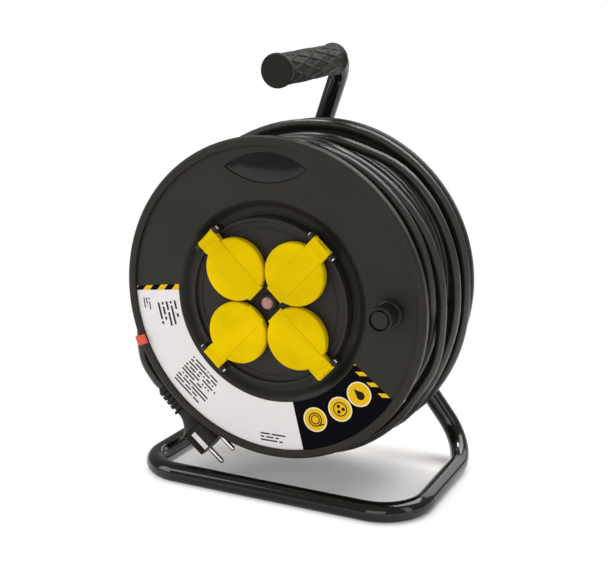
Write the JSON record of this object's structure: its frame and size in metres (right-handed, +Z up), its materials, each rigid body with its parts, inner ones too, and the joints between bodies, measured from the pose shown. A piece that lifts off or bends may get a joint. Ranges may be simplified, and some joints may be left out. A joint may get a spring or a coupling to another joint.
{
  "type": "extension cord reel",
  "caption": "Open cable drum with a panel of lidded sockets and a winding knob, wound with black cable, turning on a bent tube stand with a carrying grip.",
  "frame": {"origin": "on the floor under the middle of the part's width and depth", "axes": "+Z up, -Y the way the sockets face, along the drum's axle, +X to the right of someone who faces the sockets"},
  "size_m": [0.2951, 0.207, 0.398],
  "materials": {
    "tube_black": "gloss black powder coat",
    "grip_rubber": "matte",
    "zinc_steel": "zinc plated",
    "pin_steel": "bright",
    "black_plastic": "satin",
    "bush_white": "matte",
    "gasket_rubber": "matte",
    "contact_brass": "satin",
    "contact_nickel": "nickel plated",
    "lid_yellow": "satin yellow",
    "button_red": "translucent",
    "clip_red": "satin",
    "cable_rubber": "satin",
    "plug_rubber": "matte"
  },
  "bodies": {
    "stand": {"frame_tube": "tube_black", "handle_grip": "grip_rubber", "axle_spindle": "zinc_steel", "saddle_washers": "black_plastic", "axle_washer": "zinc_steel", "axle_nut": "zinc_steel", "thrust_washer": "bush_white", "circlip": "zinc_steel"},
    "drum": {"front_flange": "black_plastic", "rear_flange": "black_plastic", "drum_barrel": "black_plastic", "rear_bush": "bush_white", "flange_screws": "zinc_steel", "socket_plate": "black_plastic", "plate_gasket": "gasket_rubber", "plate_screws": "zinc_steel", "contact_sleeves": "contact_brass", "breaker_body": "black_plastic", "breaker_bezel": "black_plastic", "button_spring": "zinc_steel", "terminal_block": "bush_white", "cord_inlet": "black_plastic", "knob_pin": "black_plastic", "cord_clip": "clip_red", "socket_insert_1": "black_plastic", "socket_insert_2": "black_plastic", "socket_insert_3": "black_plastic", "socket_insert_4": "black_plastic", "earth_clips_1": "contact_nickel", "earth_clips_2": "contact_nickel", "earth_clips_3": "contact_nickel", "earth_clips_4": "contact_nickel", "lid_pin_1": "pin_steel", "lid_pin_2": "pin_steel", "lid_pin_3": "pin_steel", "lid_pin_4": "pin_steel", "lid_spring_1": "pin_steel", "lid_spring_2": "pin_steel", "lid_spring_3": "pin_steel", "lid_spring_4": "pin_steel", "cable_core": "cable_rubber", "cable_outer_layer": "cable_rubber", "lead_cable": "cable_rubber", "plug_relief": "plug_rubber", "plug_body": "plug_rubber", "plug_pins": "contact_nickel", "plug_earth_strips": "contact_nickel"},
    "lid_1": {"lid_1": "lid_yellow", "lid_gasket_1": "gasket_rubber"},
    "lid_2": {"lid_2": "lid_yellow", "lid_gasket_2": "gasket_rubber"},
    "lid_3": {"lid_3": "lid_yellow", "lid_gasket_3": "gasket_rubber"},
    "lid_4": {"lid_4": "lid_yellow", "lid_gasket_4": "gasket_rubber"},
    "winding_knob": {"winding_knob": "black_plastic"},
    "reset_button": {"reset_button": "button_red"}
  },
  "joints": [
    {"name": "drum_spin", "type": "hinge", "parent": "stand", "child": "drum", "pos_m": [0, -0.0815, 0.185], "axis": [0, -1, 0], "continuous": true},
    {"name": "lid_1_hinge", "type": "hinge", "parent": "drum", "child": "lid_1", "pos_m": [0.05285, -0.0871, 0.24168], "axis": [-0.7314, 0, 0.682], "range_deg": [0, 110], "stiffness_Nm_per_rad": 0.008, "springref_deg": -51.57},
    {"name": "lid_2_hinge", "type": "hinge", "parent": "drum", "child": "lid_2", "pos_m": [-0.05668, -0.0871, 0.23785], "axis": [-0.682, 0, -0.7314], "range_deg": [0, 110], "stiffness_Nm_per_rad": 0.008, "springref_deg": -51.57},
    {"name": "lid_3_hinge", "type": "hinge", "parent": "drum", "child": "lid_3", "pos_m": [-0.05285, -0.0871, 0.12832], "axis": [0.7314, 0, -0.682], "range_deg": [0, 110], "stiffness_Nm_per_rad": 0.008, "springref_deg": -51.57},
    {"name": "lid_4_hinge", "type": "hinge", "parent": "drum", "child": "lid_4", "pos_m": [0.05668, -0.0871, 0.13215], "axis": [0.682, 0, 0.7314], "range_deg": [0, 110], "stiffness_Nm_per_rad": 0.008, "springref_deg": -51.57},
    {"name": "knob_spin", "type": "hinge", "parent": "drum", "child": "winding_knob", "pos_m": [0.11193, -0.0915, 0.18891], "axis": [0, -1, 0], "continuous": true},
    {"name": "button_press", "type": "slide", "parent": "drum", "child": "reset_button", "axis": [0, 1, 0], "range_m": [0, 0.003], "stiffness_N_per_m": 300, "springref_m": -0.003, "deforming": ["button_spring"]}
  ]
}
